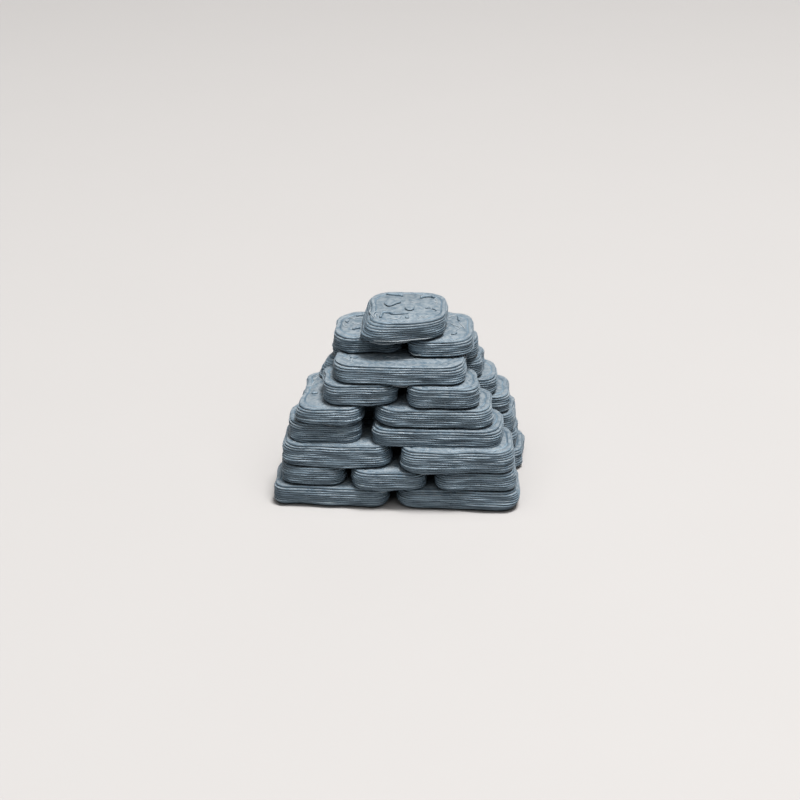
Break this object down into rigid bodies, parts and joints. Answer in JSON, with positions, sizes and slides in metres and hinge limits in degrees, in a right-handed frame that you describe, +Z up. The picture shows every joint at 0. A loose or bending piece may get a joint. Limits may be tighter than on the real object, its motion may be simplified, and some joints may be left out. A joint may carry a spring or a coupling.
{
  "type": "miniature stone cairn",
  "caption": "Small stacked-stone cairn in one piece: courses of flat round-cornered stones narrowing to a single cap stone, on a flat base.",
  "frame": {"origin": "on the ground under the middle of the pile", "axes": "+X along the front of the pile, to the right as seen from the front; +Y from the front to the back; +Z up"},
  "size_m": [0.0228, 0.015, 0.0168],
  "materials": {
    "slate_plastic": "matte slate-blue printed plastic with fine layer lines"
  },
  "bodies": {
    "root": {"cairn": "slate_plastic"}
  },
  "joints": []
}
